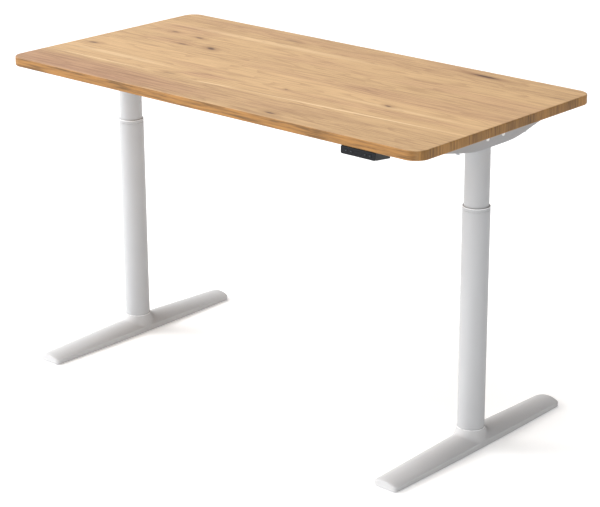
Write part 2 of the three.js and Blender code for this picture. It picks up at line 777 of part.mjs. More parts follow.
function cables() {
  const boxEnd = controlBoxLength / 2 + gap;
  const motorEnd = columnX - armWidth / 2 - motorLength - 3 * gap;
  const z = topUnderside - 12;
  [['left', -1], ['right', 1]].forEach(([name, side]) => {
    cable(`${name}_motor_cable`, [
      [side * motorEnd, shaftY, shaftZ],
      [side * (motorEnd - 20), shaftY, shaftZ],
      [side * (motorEnd - 80), shaftY + 10, z],
      [side * ((motorEnd + boxEnd) / 2), shaftY + 12, z],
      [side * (boxEnd + 60), shaftY + 4, z],
      [side * (boxEnd + 15), shaftY, z - 4],
      [side * boxEnd, shaftY, z - 4],
    ], 14);
  });
  const handsetBack = handsetFront + handsetDepth + gap;
  const start = handsetLeft + handsetWidth / 2;
  const across = (share) => start + (boxEnd - start) * share;
  const underRail = topUnderside - railHeight - 6;
  const rail = -railSpacing / 2;
  cable('handset_cable', [
    [start, handsetBack, handsetTop - handsetCableDrop],
    [start, handsetBack + 12, handsetTop - handsetCableDrop],
    [across(0.08), handsetBack + 60, z],
    [across(0.3), rail - 70, z],
    [across(0.53), rail - 40, z - 10],
    [across(0.63), rail - railWidth / 2 - 8, underRail + 4],
    [across(0.69), rail, underRail - 2],
    [across(0.75), rail + railWidth / 2 + 10, underRail + 4],
    [across(0.85), -30, z - 12],
    [across(0.96), -20, z - 4],
    [boxEnd, -20, z - 4],
  ], 26);
}

// ---------------------------------------------------------------- assembly

tabletop();
[['left', -1], ['right', 1]].forEach(([name, side]) => {
  column(name, side * columnX);
  columnHead(name, side * columnX, -side);
});
rails();
controlBox();
handset();
cables();

export default desk;
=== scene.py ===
"""A height adjustable standing desk: an oiled oak top on two round lifting columns."""

import json
import math

import bpy
from mathutils import Matrix, Vector


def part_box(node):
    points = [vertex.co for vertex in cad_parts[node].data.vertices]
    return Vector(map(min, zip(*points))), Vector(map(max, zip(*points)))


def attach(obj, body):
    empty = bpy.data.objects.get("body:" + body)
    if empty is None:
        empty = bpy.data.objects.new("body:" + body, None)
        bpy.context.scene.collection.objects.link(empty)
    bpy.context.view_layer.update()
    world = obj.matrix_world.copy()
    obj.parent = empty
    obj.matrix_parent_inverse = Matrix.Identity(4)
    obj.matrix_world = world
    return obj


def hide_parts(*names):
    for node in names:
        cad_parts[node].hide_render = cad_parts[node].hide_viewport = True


bl_info = {
    "name": "Standing Desk",
    "version": (1, 0, 0),
    "blender": (4, 5, 0),
    "location": "3D View > Sidebar > Desk",
    "description": "Makes the looks of a height adjustable standing desk around its frame",
    "category": "Add Mesh",
}

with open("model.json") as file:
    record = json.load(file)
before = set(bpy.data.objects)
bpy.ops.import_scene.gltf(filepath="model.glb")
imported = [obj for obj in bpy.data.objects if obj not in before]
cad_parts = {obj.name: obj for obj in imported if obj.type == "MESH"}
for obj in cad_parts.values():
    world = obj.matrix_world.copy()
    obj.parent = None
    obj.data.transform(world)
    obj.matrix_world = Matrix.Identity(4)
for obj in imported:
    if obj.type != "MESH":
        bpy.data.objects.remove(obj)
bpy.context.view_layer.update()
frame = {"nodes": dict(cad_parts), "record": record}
MM = 0.001
SIDES = ("left", "right")

top_low, top_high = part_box("tabletop")
foot_low, foot_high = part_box("right_foot")
outer_low, outer_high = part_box("right_outer_tube")
inner_low, inner_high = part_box("right_inner_tube")
plate_low, plate_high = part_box("right_base_plate")
glide_low, glide_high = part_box("right_glide_back")

tube_radius = (outer_high.x - outer_low.x) / 2
foot_half_width = (foot_high.x - foot_low.x) / 2
foot_half_length = (foot_high.y - foot_low.y) / 2
top_thickness = top_high.z - top_low.z

MERGE = 0.01 * MM  # points closer than this become one
FIT = 0.3 * MM  # clearance between pieces that go into each other
ROUND = 128  # corners of the large round pieces
DOWN = (0, 0, -1)


# ---------------------------------------------------------------- values a user would change

def length(name, description, default):
    return bpy.props.FloatProperty(
        name=name, description=description, default=default, unit="LENGTH", min=0.0, precision=4
    )


def fraction(name, description, default):
    return bpy.props.FloatProperty(
        name=name, description=description, default=default, subtype="FACTOR", min=0.0, max=0.99
    )


def colour(name, description, default):
    return bpy.props.StringProperty(name=name, description=description, default=default)


class DeskSizes(bpy.types.PropertyGroup):
    """Sizes of the desk's fine shapes."""

    corner_radius: length("Corner radius", "Rounding of the top's corners", 40 * MM)
    edge_round: length("Edge round", "Softness of the top's upper and lower edges", 3 * MM)
    foot_band_middle: length("Foot band, middle", "Height of the foot's upright side at the column", 18 * MM)
    foot_band_end: length("Foot band, ends", "Height of the foot's upright side at its ends", 13 * MM)
    foot_ridge_middle: length("Foot ridge, middle", "Height of the crown at the column", 41.5 * MM)
    foot_ridge_end: length("Foot ridge, ends", "Height of the crown near its ends", 22.5 * MM)
    foot_end_height: length("Foot end height", "Height of the end faces", 20.5 * MM)
    foot_taper: length("Foot taper", "How much narrower the foot is at its ends", 10 * MM)
    foot_corner: length("Foot corners", "Rounding of the foot's corners in plan", 10 * MM)
    foot_wall: length("Foot wall", "Wall of the casting", 4 * MM)
    foot_reach: fraction("Foot arc", "How much of a half ellipse the crown's arc takes", 0.62)
    neck_wall: length("Neck wall", "Wall of the round neck around the tube", 1.9 * MM)
    neck_flare: length("Neck flare", "Fillet from the neck out along the crown", 20 * MM)
    tube_wall: length("Tube wall", "Wall of the column's tubes", 1.7 * MM)
    rib_height: length("Rib height", "Height of the ribs under the foot", 9 * MM)
    rib_width: length("Rib width", "Width of the cross ribs under the foot", 16 * MM)
    rib_inset: length("Rib inset", "How far the cross ribs stop short of the foot's sides", 10 * MM)
    spine_width: length("Spine width", "Width of the rib along the foot", 3 * MM)
    # Painted highlight: the pale ring under the collar's rim stands in for the rim catching the top light.
    highlight_ring_height: length("Lip height", "Height of the pale ring on the collar", 1.7 * MM)
    highlight_ring_drop: length("Lip drop", "How far the pale ring sits below the collar's rim", 0.3 * MM)
    neck_ring: length("Neck ring", "Thickness of the pale ring between neck and tube", 1.9 * MM)
    clip_length: length("Clip length", "Length of a cable clip along its cable", 8 * MM)
    clip_width: length("Clip width", "Width of a cable clip", 14 * MM)
    key_mark: length("Key marks", "Height of the marks printed on the keys", 3 * MM)
    screw_head: length("Screw head", "Diameter of the arm screws' heads", 10 * MM)


class DeskColours(bpy.types.PropertyGroup):
    """Colours of the desk's finishes, as sRGB hex."""

    oak_light: colour("Oak, light", "Early wood", "#CCA779")
    oak_middle: colour("Oak, middle", "Body of the wood", "#B8956A")
    oak_dark: colour("Oak, dark", "Late wood lines", "#8B6644")
    oak_line: colour("Oak, light lines", "Pale lines of the figure", "#E3C59A")
    oak_stain: colour("Oak, stain", "What stained patches let through", "#EBE0EA")
    # Faces turned to the front and back take this warmer colour in place of the top's.
    oak_edge: colour("Oak, long edges", "Long edges, cut through the staves' sides", "#976B36")
    oak_knot: colour("Oak, knots", "Knots and cracks", "#4A2F20")
    oak_end: colour("Oak, end grain", "End grain", "#9D723C")
    coat: colour("Powder coat, tubes", "Tubes", "#BDBEC0")
    # Painted shade: the arms and rails take a coat a shade darker than the tubes, for the shadow that the
    # top casts on them.
    frame_coat: colour("Powder coat, frame", "Arms and rails", "#ACADB0")
    cast: colour("Casting coat", "Feet", "#C9C9CA")
    plastic: colour("Black plastic", "Housings", "#17181B")
    gloss: colour("Gloss black", "Handset front", "#0B0D11")
    floor: colour("Floor", "Floor of the stage", "#FAFAFA")


# ---------------------------------------------------------------- small helpers

def linear(hexed):
    """sRGB hex to linear RGBA."""
    out = []
    for i in (1, 3, 5):
        c = int(hexed[i:i + 2], 16) / 255
        out.append(c / 12.92 if c <= 0.04045 else ((c + 0.055) / 1.055) ** 2.4)
    return (*out, 1.0)


def only(piece):
    """Selects one piece and nothing else."""
    bpy.ops.object.select_all(action="DESELECT")
    piece.select_set(True)
    bpy.context.view_layer.objects.active = piece


def start(name, add, **settings):
    """Adds one primitive, with its place and size moved into its mesh."""
    bpy.ops.object.select_all(action="DESELECT")
    add(**settings)
    piece = bpy.context.object
    piece.name = piece.data.name = name
    bpy.ops.object.transform_apply(location=True, rotation=True, scale=True)
    return piece


def block(name, low, high):
    """A box between two corners."""
    low, high = Vector(low), Vector(high)
    return start(name, bpy.ops.mesh.primitive_cube_add, size=1, location=(low + high) / 2, scale=high - low)


def rod(name, radius, a, b, vertices, ends="NGON"):
    """A cylinder from point a to point b."""
    a, b = Vector(a), Vector(b)
    turn = (b - a).to_track_quat("Z", "Y").to_euler()
    return start(
        name, bpy.ops.mesh.primitive_cylinder_add, radius=radius, depth=(b - a).length,
        vertices=vertices, end_fill_type=ends, location=(a + b) / 2, rotation=turn,
    )


def pick(piece, kind, test):
    """Selects the vertices, edges or faces that pass a test, in edit mode."""
    bpy.ops.object.mode_set(mode="EDIT")
    bpy.ops.mesh.select_mode(type=kind)
    bpy.ops.mesh.select_all(action="DESELECT")
    bpy.ops.object.mode_set(mode="OBJECT")
    mesh = piece.data
    items = {"VERT": mesh.vertices, "EDGE": mesh.edges, "FACE": mesh.polygons}[kind]
    for item in items:
        item.select = test(item)
    bpy.ops.object.mode_set(mode="EDIT")


def rise(piece, edge):
    """How far an edge climbs from one end to the other."""
    a, b = (piece.data.vertices[i].co for i in edge.vertices)
    return abs(a.z - b.z)


def modifier(piece, kind, **settings):
    """Adds a modifier and applies it."""
    only(piece)
    added = piece.modifiers.new(kind.title(), kind)
    for key, value in settings.items():
        setattr(added, key, value)
    bpy.ops.object.modifier_apply(modifier=added.name)


def cut_away(piece, tool):
    """Cuts a tool out of a piece and takes the tool away."""
    modifier(piece, "BOOLEAN", object=tool, operation="DIFFERENCE", solver="EXACT")
    bpy.data.objects.remove(tool)


def break_edges(piece, width, segments=2, angle=50):
    """Rounds every edge that is sharper than an angle."""
    limit = math.radians(angle)
    modifier(piece, "BEVEL", width=width, segments=segments, limit_method="ANGLE", angle_limit=limit)


def smooth(piece, angle=40):
    """Smooth shading up to an angle, in which large faces stay flat."""
    only(piece)
    bpy.ops.object.shade_smooth_by_angle(angle=math.radians(angle))
    modifier(piece, "WEIGHTED_NORMAL", keep_sharp=True)


def keep(piece, body, look, slot, *nodes):
    """Gives a finished piece its finish, its body and the nodes that it stands for."""
    piece.data.materials.clear()
    piece.data.materials.append(look)
    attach(piece, body)
    if nodes:
        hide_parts(*nodes)
    return piece


def join(first, *others):
    """Makes one piece of several."""
    only(first)
    for piece in others:
        piece.select_set(True)
    bpy.ops.object.join()
    return first


def copy_of(piece, name):
    """A copy of a piece with a mesh of its own."""
    made = bpy.data.objects.new(name, piece.data.copy())
    bpy.context.scene.collection.objects.link(made)
    return made


def moved(piece, offset):
    """Moves a piece's mesh and leaves its origin where it is."""
    piece.data.transform(Matrix.Translation(Vector(offset)))
    return piece


def body_name(part):
    """The body that a frame piece rides."""
    for body, parts in frame["record"]["behaviour"]["bodies"].items():
        if part in parts:
            return body
    raise ValueError(part)


def slot_name(part):
    """The material slot of a frame piece."""
    for row in frame["record"]["subparts"]:
        if row["node"] == part:
            return row["material_slot"]
    raise ValueError(part)


def merged_copy(part, name):
    """A copy of a frame piece with its loose triangles merged."""
    piece = copy_of(frame["nodes"][part], name)
    only(piece)
    bpy.ops.object.mode_set(mode="EDIT")
    bpy.ops.mesh.select_all(action="SELECT")
    bpy.ops.mesh.remove_doubles(threshold=MERGE)
    return piece


def refine(part, width, look, segments=3, angle=30):
    """A fine copy of a frame piece, with its flat faces made whole and its edges broken."""
    piece = merged_copy(part, part + "_fine")
    bpy.ops.mesh.dissolve_limited(angle_limit=math.radians(1))
    bpy.ops.mesh.customdata_custom_splitnormals_clear()
    bpy.ops.object.mode_set(mode="OBJECT")
    break_edges(piece, width, segments, angle)
    smooth(piece)
    return keep(piece, body_name(part), look, slot_name(part), part)


# ---------------------------------------------------------------- materials

def node(tree, kind, links=None, **settings):
    """Adds a node with its settings and links. A link is an input's name or number and what feeds it."""
    made = tree.nodes.new(kind)
    for key, value in settings.items():
        setattr(made, key, value)
    for key, value in (links or {}).items():
        if isinstance(value, bpy.types.NodeSocket):
            tree.links.new(value, made.inputs[key])
        else:
            made.inputs[key].default_value = value
    return made


def ramp(tree, factor, stops, interpolation="LINEAR"):
    """A colour ramp. A stop is a place from 0 to 1 and its colour."""
    made = node(tree, "ShaderNodeValToRGB", {0: factor})
    bar = made.color_ramp
    bar.interpolation = interpolation
    while len(bar.elements) > 1:
        bar.elements.remove(bar.elements[0])
    bar.elements[0].position, bar.elements[0].color = stops[0]
    for place, rgba in stops[1:]:
        bar.elements.new(place).color = rgba
    return made.outputs[0]


def grey(value):
    return (value, value, value, 1.0)


def shade(rgba, factor):
    """A colour made darker or lighter."""
    return tuple(min(1.0, c * factor) for c in rgba[:3]) + (1.0,)


def new_material(name):
    """A material with its node tree and shader."""
    material = bpy.data.materials.new(name)
    material.use_nodes = True
    tree = material.node_tree
    return material, tree, tree.nodes["Principled BSDF"]


def noise(tree, vector, scale, detail, roughness=0.5):
    """Soft noise from 0 to 1."""
    made = node(
        tree, "ShaderNodeTexNoise",
        {"Vector": vector, "Scale": scale, "Detail": detail, "Roughness": roughness},
    )
    return made.outputs[0]


def bump(tree, shader, height, strength, distance):
    """Raises the shader's surface by a height map."""
    made = node(tree, "ShaderNodeBump", {"Height": height, "Strength": strength, "Distance": distance})
    tree.links.new(made.outputs[0], shader.inputs["Normal"])


def powder_coat(name, hexed, grain_mm, roughness):
    """Polyester powder coat, sprayed and baked: satin, with the faint orange peel of flowed powder."""
    material, tree, shader = new_material(name)
    place = node(tree, "ShaderNodeTexCoord").outputs["Object"]
    peel = noise(tree, place, 1 / (grain_mm * MM), 3.0, 0.6)
    cloud = noise(tree, place, 6.0, 2.0)  # soft patches, a hand wide
    base = linear(hexed)
    tint = ramp(tree, cloud, [(0.3, shade(base, 0.965)), (0.7, base)])
    tree.links.new(tint, shader.inputs["Base Color"])
    gloss = node(tree, "ShaderNodeMapRange", {0: peel, 3: roughness - 0.05, 4: roughness + 0.06})
    tree.links.new(gloss.outputs[0], shader.inputs["Roughness"])
    shader.inputs["Specular IOR Level"].default_value = 0.45
    bump(tree, shader, peel, 0.12, 0.0002)
    return material


def moulded_plastic(name, hexed, roughness, grit_mm=0.9):
    """Injection moulded ABS with a fine spark-eroded texture, drawn coarse enough to show."""
    material, tree, shader = new_material(name)
    place = node(tree, "ShaderNodeTexCoord").outputs["Object"]
    grit = noise(tree, place, 1 / (grit_mm * MM), 2.0, 0.7)
    base = linear(hexed)
    light = tuple(c * 1.25 + 0.001 for c in base[:3]) + (1.0,)
    tint = ramp(tree, grit, [(0.35, base), (0.75, light)])
    tree.links.new(tint, shader.inputs["Base Color"])
    gloss = node(tree, "ShaderNodeMapRange", {0: grit, 3: roughness - 0.06, 4: roughness + 0.08})
    tree.links.new(gloss.outputs[0], shader.inputs["Roughness"])
    bump(tree, shader, grit, 0.25, 0.0001)
    return material


def plated_metal(name, hexed, roughness, brush_mm=0.6):
    """Zinc plated or turned steel: metallic, with fine turning marks that break its highlight."""
    material, tree, shader = new_material(name)
    place = node(tree, "ShaderNodeTexCoord").outputs["Object"]
    marks = noise(tree, place, 1 / (brush_mm * MM), 4.0, 0.7)
    cloud = noise(tree, place, 40.0, 3.0)  # dull patches, 25 mm wide
    base = linear(hexed)
    tint = ramp(tree, cloud, [(0.3, shade(base, 0.8)), (0.65, base)])
    tree.links.new(tint, shader.inputs["Base Color"])
    shader.inputs["Metallic"].default_value = 1.0
    gloss = node(tree, "ShaderNodeMapRange", {0: marks, 3: roughness - 0.08, 4: roughness + 0.1})
    tree.links.new(gloss.outputs[0], shader.inputs["Roughness"])
    bump(tree, shader, marks, 0.1, 0.0001)
    return material


def gloss_acrylic(name, hexed):
    """Back-printed acrylic: polished, nearly black, with faint wiping marks in its gloss."""
    material, tree, shader = new_material(name)
    place = node(tree, "ShaderNodeTexCoord").outputs["Object"]
    wipe = noise(tree, place, 60.0, 3.0, 0.6)  # marks 17 mm wide
    base = linear(hexed)
    blue = (base[0] * 1.1, base[1] * 1.25, base[2] * 1.5, 1.0)
    tint = ramp(tree, wipe, [(0.3, base), (0.8, blue)])
    tree.links.new(tint, shader.inputs["Base Color"])
    gloss = node(tree, "ShaderNodeMapRange", {0: wipe, 3: 0.08, 4: 0.2})
    tree.links.new(gloss.outputs[0], shader.inputs["Roughness"])
    shader.inputs["IOR"].default_value = 1.49
    shader.inputs["Specular IOR Level"].default_value = 0.22
    return material


# Knots of the oak, in millimetres and degrees from the top's middle: place along and across, half length,
# half width, turn, and how dark.
KNOTS = (
    (400, 303, 62, 10, -3, 1.0),
    (-347, 62, 24, 12, -20, 0.9),
    (-460, 132, 22, 8, -4, 0.7),
    (-565, 143, 20, 7, 0, 0.65),
    (-445, 50, 22, 7, 4, 0.6),
    (-645, -95, 22, 9, 8, 0.75),
    (-240, 275, 40, 8, -4, 0.45),
    (395, -85, 15, 7, -10, 0.8),
    (100, -128, 10, 5, -20, 0.5),
    (220, -318, 25, 8, -4, 0.75),
    (-240, -202, 26, 11, 10, 0.3),
    (665, 245, 34, 8, 4, 0.35),
)

# Stained patches: place along and across, half length, half width, turn, and strength.
PATCHES = (
    (-470, -300, 560, 72, 0, 0.95),
    (480, -5, 430, 48, 0, 0.4),
    (-150, -160, 95, 26, 8, 0.6),
    (600, 130, 170, 30, 0, 0.4),
    (-560, 160, 120, 70, 0, 0.3),
    (-500, 60, 110, 30, 6, 0.45),
    (-330, 300, 380, 36, 0, 0.35),
    (380, -130, 380, 22, 2, 0.35),
)

# Lines of the figure: place along and across, half length, half width, turn, and strength.
LIGHT_LINES = (
    (-490, -214, 240, 3.5, 0, 0.75),
    (-80, -209, 100, 4.5, 7, 0.6),
    (350, -188, 400, 5, 2.6, 0.75),
    (-480, -150, 240, 16, 0, 0.35),
    (-250, 215, 460, 18, 0, 0.3),
    (450, -95, 280, 8, 0, 0.3),
)
DARK_LINES = (
    (520, -27, 330, 3.5, 0.6, 0.5),
    (-330, -90, 310, 3, 0, 0.4),
    (-560, 273, 160, 3.5, -1, 0.5),
    (-60, -60, 260, 2.5, 0.5, 0.3),
    (-140, 118, 200, 3, 3, 0.3),
    (250, 70, 300, 3, -1, 0.25),
    (300, 160, 130, 8, 2, 0.25),
    (480, -150, 300, 3, 1.5, 0.3),
)

# Staves across the top: where each ends, from the front edge, in millimetres, and its own tone.
STAVES = ((135, 0.30), (255, 0.62), (330, 0.78), (455, 0.45), (580, 0.55), (700, 0.35))


def oiled_oak(colours):
    """Knotty oak of glued staves, sanded and oiled: open grain, satin, darker end grain."""
    material, tree, shader = new_material("oiled_oak")
    geometry = node(tree, "ShaderNodeNewGeometry")
    place = node(tree, "ShaderNodeTexCoord").outputs["Object"]
    axes = node(tree, "ShaderNodeSeparateXYZ", {0: place})
    along, across, up = axes.outputs

    def math_node(operation, a, b=0.0):
        return node(tree, "ShaderNodeMath", {0: a, 1: b}, operation=operation).outputs[0]

    def fade(value, low, high, at_low=0.0, at_high=1.0):
        made = node(
            tree, "ShaderNodeMapRange", {0: value, 1: low, 2: high, 3: at_low, 4: at_high},
            interpolation_type="SMOOTHSTEP",
        )
        return made.outputs[0]

    def mix(factor, a, b, blend="MIX"):
        made = node(tree, "ShaderNodeMix", data_type="RGBA", blend_type=blend)
        for key, value in ((0, factor), (6, a), (7, b)):
            if isinstance(value, bpy.types.NodeSocket):
                tree.links.new(value, made.inputs[key])
            else:
                made.inputs[key].default_value = value
        return made.outputs[2]

    depth = top_high.y - top_low.y
    from_front = math_node("DIVIDE", math_node("SUBTRACT", across, top_low.y), depth)
    stops, at = [], 0.0
    for end, tone in STAVES:
        stops.append((at, grey(tone)))
        at = end * MM / depth
    stave = ramp(tree, from_front, stops, "CONSTANT")

    def ellipse(x, y, half_long, half_wide, turn):
        """Distance from an ellipse's middle, one at its rim, and how far across it."""
        spot = node(
            tree, "ShaderNodeMapping",
            {
                "Vector": place, "Location": (x * MM, y * MM, top_high.z),
                "Rotation": (0, 0, math.radians(turn)), "Scale": (half_long * MM, half_wide * MM, 10),
            },
            vector_type="TEXTURE",
        ).outputs[0]
        away = node(tree, "ShaderNodeVectorMath", {0: spot}, operation="LENGTH").outputs["Value"]
        return away, node(tree, "ShaderNodeSeparateXYZ", {0: spot}).outputs[1]

    def strongest(rows, inner, outer):
        """The strongest of several soft ellipses."""
        most = None
        for *shape, strength in rows:
            spot = fade(ellipse(*shape)[0], inner, outer, strength, 0.0)
            most = spot if most is None else math_node("MAXIMUM", most, spot)
        return most

    bend = 0.0
    for *shape, dark in KNOTS:
        away, side = ellipse(*shape)
        push = math_node("MULTIPLY", side, fade(away, 0.3, 4.0, 0.55 * shape[3] * MM, 0.0))
        bend = math_node("ADD", bend, push)
    core = strongest(KNOTS, 0.2, 1.0)
    halo = math_node("MULTIPLY", strongest(KNOTS, 0.5, 2.6), 0.6)
    flowing = math_node("SUBTRACT", across, bend)

    # Each stave is cut from another place in the log.
    shifted = math_node("ADD", along, math_node("MULTIPLY", stave, 7.0))
    grain = node(tree, "ShaderNodeCombineXYZ", {0: shifted, 1: flowing, 2: up}).outputs[0]

    def stretched(long_mm, wide_mm, detail, rough):
        scale = (1 / (long_mm * MM), 1 / (wide_mm * MM), 1 / (wide_mm * MM))
        vector = node(tree, "ShaderNodeMapping", {"Vector": grain, "Scale": scale}).outputs[0]
        return noise(tree, vector, 1.0, detail, rough)

    figure = stretched(620, 75, 2.0, 0.45)
    lines = math_node("FRACT", math_node("MULTIPLY", figure, 11.0))
    streaks = stretched(170, 5.5, 4.0, 0.6)
    fibres = stretched(42, 1.8, 3.0, 0.6)
    pores = stretched(14, 0.8, 2.0, 0.6)
    cloud = stretched(420, 150, 2.0, 0.5)

    late = fade(lines, 0.55, 1.0)
    late = math_node("MULTIPLY", late, fade(lines, 1.0, 0.97))
    body = math_node("ADD", math_node("MULTIPLY", streaks, 0.5), math_node("MULTIPLY", fibres, 0.3))
    body = math_node("ADD", body, math_node("MULTIPLY", stave, 0.2))
    light = linear(colours.oak_light)
    middle = linear(colours.oak_middle)
    dark = linear(colours.oak_dark)
    wood = ramp(tree, body, [(0.3, dark), (0.46, middle), (0.64, light)])
    wood = mix(math_node("MULTIPLY", late, 0.34), wood, dark)
    stain = linear(colours.oak_stain)
    wood = mix(fade(cloud, 0.5, 0.68, 0.0, 0.4), wood, stain, "MULTIPLY")
    patch = strongest(PATCHES, 0.45, 1.15)
    wood = mix(patch, wood, stain, "MULTIPLY")
    veins = math_node("MULTIPLY", patch, fade(streaks, 0.52, 0.38, 0.0, 0.6))
    wood = mix(veins, wood, dark)
    wood = mix(strongest(LIGHT_LINES, 0.3, 1.1), wood, linear(colours.oak_line))
    wood = mix(strongest(DARK_LINES, 0.2, 1.2), wood, dark)
    wood = mix(fade(pores, 0.58, 0.72, 0.0, 0.3), wood, dark)
    wood = mix(halo, wood, dark)
    wood = mix(core, wood, linear(colours.oak_knot))

    # The long edges are warmer, with their own dark streaks, 110 mm long and 5 mm high.
    facing = node(tree, "ShaderNodeSeparateXYZ", {0: geometry.outputs["True Normal"]}).outputs
    side_vector = node(tree, "ShaderNodeMapping", {"Vector": place, "Scale": (9.0, 9.0, 190.0)}).outputs[0]
    side_streaks = noise(tree, side_vector, 1.0, 4.0, 0.6)
    edge = linear(colours.oak_edge)
    edges = ramp(tree, side_streaks, [(0.37, shade(edge, 0.5)), (0.5, edge), (0.65, shade(edge, 1.3))])
    wood = mix(fade(math_node("ABSOLUTE", facing[1]), 0.5, 0.9), wood, edges)

    # End grain: cut fibres drink the oil and go dark, in upright streaks 5 mm wide and blocks of 45 mm.
    end_vector = node(tree, "ShaderNodeMapping", {"Vector": place, "Scale": (20.0, 190.0, 12.0)}).outputs[0]
    end_streaks = noise(tree, end_vector, 1.0, 3.0, 0.6)
    end_vector = node(tree, "ShaderNodeMapping", {"Vector": place, "Scale": (2.0, 22.0, 2.0)}).outputs[0]
    end_blocks = noise(tree, end_vector, 1.0, 2.0, 0.5)
    end_mix = math_node("MULTIPLY", end_streaks, 0.6)
    end_mix = math_node("ADD", end_mix, math_node("MULTIPLY", end_blocks, 0.4))
    end = linear(colours.oak_end)
    ends = ramp(tree, end_mix, [(0.36, shade(end, 0.48)), (0.5, end), (0.62, shade(end, 1.35))])
    wood = mix(fade(math_node("ABSOLUTE", facing[0]), 0.55, 0.85), wood, ends)
    tree.links.new(wood, shader.inputs["Base Color"])

    satin = node(tree, "ShaderNodeMapRange", {0: body, 3: 0.5, 4: 0.62}).outputs[0]
    tree.links.new(satin, shader.inputs["Roughness"])
    shader.inputs["Specular IOR Level"].default_value = 0.4
    relief = math_node("ADD", math_node("MULTIPLY", pores, -0.5), math_node("MULTIPLY", streaks, 0.5))
    bump(tree, shader, relief, 0.25, 0.0004)
    return material


LOOKS = {}


def make_materials(colours):
    """Every finish of the desk. The frame's own pieces take theirs by their slot."""
    LOOKS["oak"] = oiled_oak(colours)
    LOOKS["white_coat"] = powder_coat("white_powder_coat", colours.coat, 1.4, 0.42)
    # The frame's coat is a shade darker than the tubes': painted shade for the shadow under the top.
    LOOKS["frame_coat"] = powder_coat("painted_shade_powder_coat", colours.frame_coat, 1.4, 0.5)
    LOOKS["cast_coat"] = powder_coat("powder_coated_aluminium_casting", colours.cast, 2.2, 0.5)
    LOOKS["steel"] = plated_metal("zinc_plated_steel", "#B9BCC0", 0.34)
    LOOKS["bronze"] = plated_metal("machined_bronze", "#B98D4C", 0.4)
    LOOKS["black_plastic"] = moulded_plastic("black_abs", colours.plastic, 0.5)
    LOOKS["gloss_black"] = gloss_acrylic("black_acrylic", colours.gloss)
    LOOKS["grey_plastic"] = moulded_plastic("grey_abs", "#B2B3B5", 0.5)
    # The white finish of the neck rings and the arm's side screws; on the collar it is a painted highlight
    # ring.
    LOOKS["lip"] = moulded_plastic("white_abs_and_painted_highlight", "#F2F3F4", 0.35)
    LOOKS["acetal"] = moulded_plastic("natural_acetal", "#E9E7DF", 0.45)
    LOOKS["rubber"] = moulded_plastic("black_rubber", "#1E1F21", 0.75)
    LOOKS["mark"] = moulded_plastic("printed_marks", "#3A4046", 0.6)
    for name, item in frame["nodes"].items():
        item.data.materials.clear()
        item.data.materials.append(LOOKS[slot_name(name)])


# ---------------------------------------------------------------- wood top

class DESK_OT_top(bpy.types.Operator):
    """Makes the solid oak top with its rounded corners and edges"""

    bl_idname = "desk.top"
    bl_label = "Top"

    def execute(self, context):
        sizes = context.scene.desk_sizes
        top = block("oak_top", top_low, top_high)
        pick(top, "EDGE", lambda e: rise(top, e) > top_thickness / 2)
        bpy.ops.mesh.bevel(offset=sizes.corner_radius, segments=28, affect="EDGES")
        bpy.ops.object.mode_set(mode="OBJECT")
        pick(top, "EDGE", lambda e: rise(top, e) < top_thickness / 2)
        bpy.ops.mesh.bevel(offset=sizes.edge_round, segments=5, affect="EDGES")
        bpy.ops.object.mode_set(mode="OBJECT")
        smooth(top, 30)
        keep(top, "top", LOOKS["oak"], "oak", "tabletop")
        return {"FINISHED"}


# ---------------------------------------------------------------- cast feet

NECK_SWEEP = 2.4  # how steeply the casting climbs to the neck
FLARE_PAST_SIDE = 1.5 * MM  # how far the neck's sweep would reach past the foot's side


def crown_height(sizes, along, across_share):
    """Height of the foot's skin: an arc across, sloping down to both ends."""
    to_end = abs(along) / foot_half_length
    band = sizes.foot_band_middle + (sizes.foot_band_end - sizes.foot_band_middle) * to_end
    ridge = sizes.foot_ridge_middle + (sizes.foot_ridge_end - sizes.foot_ridge_middle) * to_end
    into_corner = max(0.0, abs(along) - (foot_half_length - sizes.foot_corner)) / sizes.foot_corner
    end_drop = 1 - math.sqrt(max(0.0, 1 - into_corner ** 2))
    ridge -= (sizes.foot_ridge_end - sizes.foot_end_height) * end_drop
    # An ellipse cut short on both sides, so that it meets the band in a crease.
    edge = math.sqrt(1 - sizes.foot_reach ** 2)
    arc = (math.sqrt(1 - (sizes.foot_reach * across_share) ** 2) - edge) / (1 - edge)
    return band + (ridge - band) * arc


def neck_height(sizes, across, along, crown):
    """Height of the skin where it sweeps up from the crown to the round neck."""
    neck_radius = tube_radius + sizes.neck_wall
    away = math.hypot(across, along)
    if away <= neck_radius:
        return foot_high.z
    flare_across = foot_half_width + FLARE_PAST_SIDE
    flare_along = neck_radius + sizes.neck_flare
    flare = away / math.hypot(across / flare_across, along / flare_along)
    way_down = (away - neck_radius) / (flare - neck_radius)
    if way_down >= 1:
        return crown
    return crown + (foot_high.z - crown) * (1 - way_down) ** NECK_SWEEP


